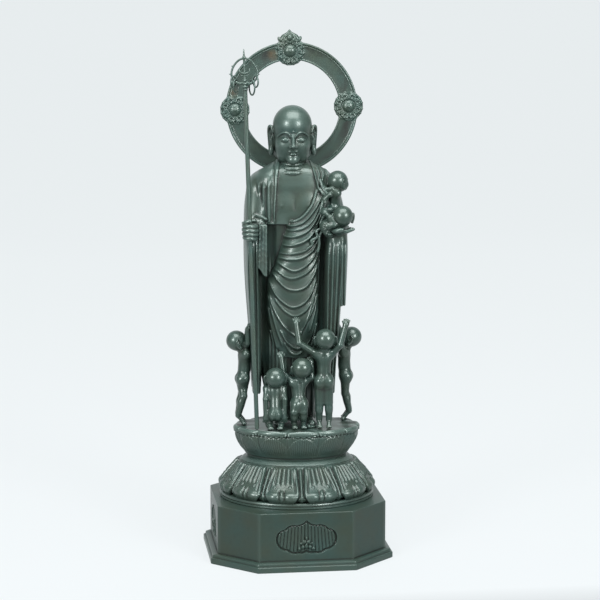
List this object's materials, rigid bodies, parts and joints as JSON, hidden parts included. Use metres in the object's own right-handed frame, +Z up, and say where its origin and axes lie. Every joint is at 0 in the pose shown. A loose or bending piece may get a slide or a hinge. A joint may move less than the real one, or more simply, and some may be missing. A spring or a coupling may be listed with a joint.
{
  "type": "jizo statue",
  "caption": "Standing bronze Jizo with staff, halo and children around him, on a double lotus pedestal and a cut-cornered plinth with sunken panels.",
  "frame": {"origin": "centre of the plinth's underside", "axes": "+Z up, the plinth's front face towards -Y, the statue's left hand towards +X"},
  "size_m": [0.2596, 0.2446, 0.7446],
  "materials": {
    "plinth_bronze": "smooth dark green patina, semi-gloss wax",
    "pedestal_bronze": "dark green patina, browner in the hollows",
    "figure_bronze": "dark green patina, semi-gloss wax, paler on folds and edges",
    "children_bronze": "dark green patina, glossier than the robe",
    "fittings_bronze": "dark green patina with brown stains by the halo's ornaments"
  },
  "bodies": {
    "root": {"plinth": "plinth_bronze", "lower_lotus": "pedestal_bronze", "seat": "pedestal_bronze", "jizo_figure": "figure_bronze", "staff": "fittings_bronze", "staff_ring_left_outer": "fittings_bronze", "staff_ring_left_inner": "fittings_bronze", "staff_ring_right_inner": "fittings_bronze", "staff_ring_right_outer": "fittings_bronze", "halo": "fittings_bronze", "child_far_left": "children_bronze", "child_far_right": "children_bronze", "child_front_right": "children_bronze", "child_front_middle": "children_bronze", "child_front_left": "children_bronze", "child_on_arm_upper": "children_bronze", "child_on_arm_lower": "children_bronze"}
  },
  "joints": []
}
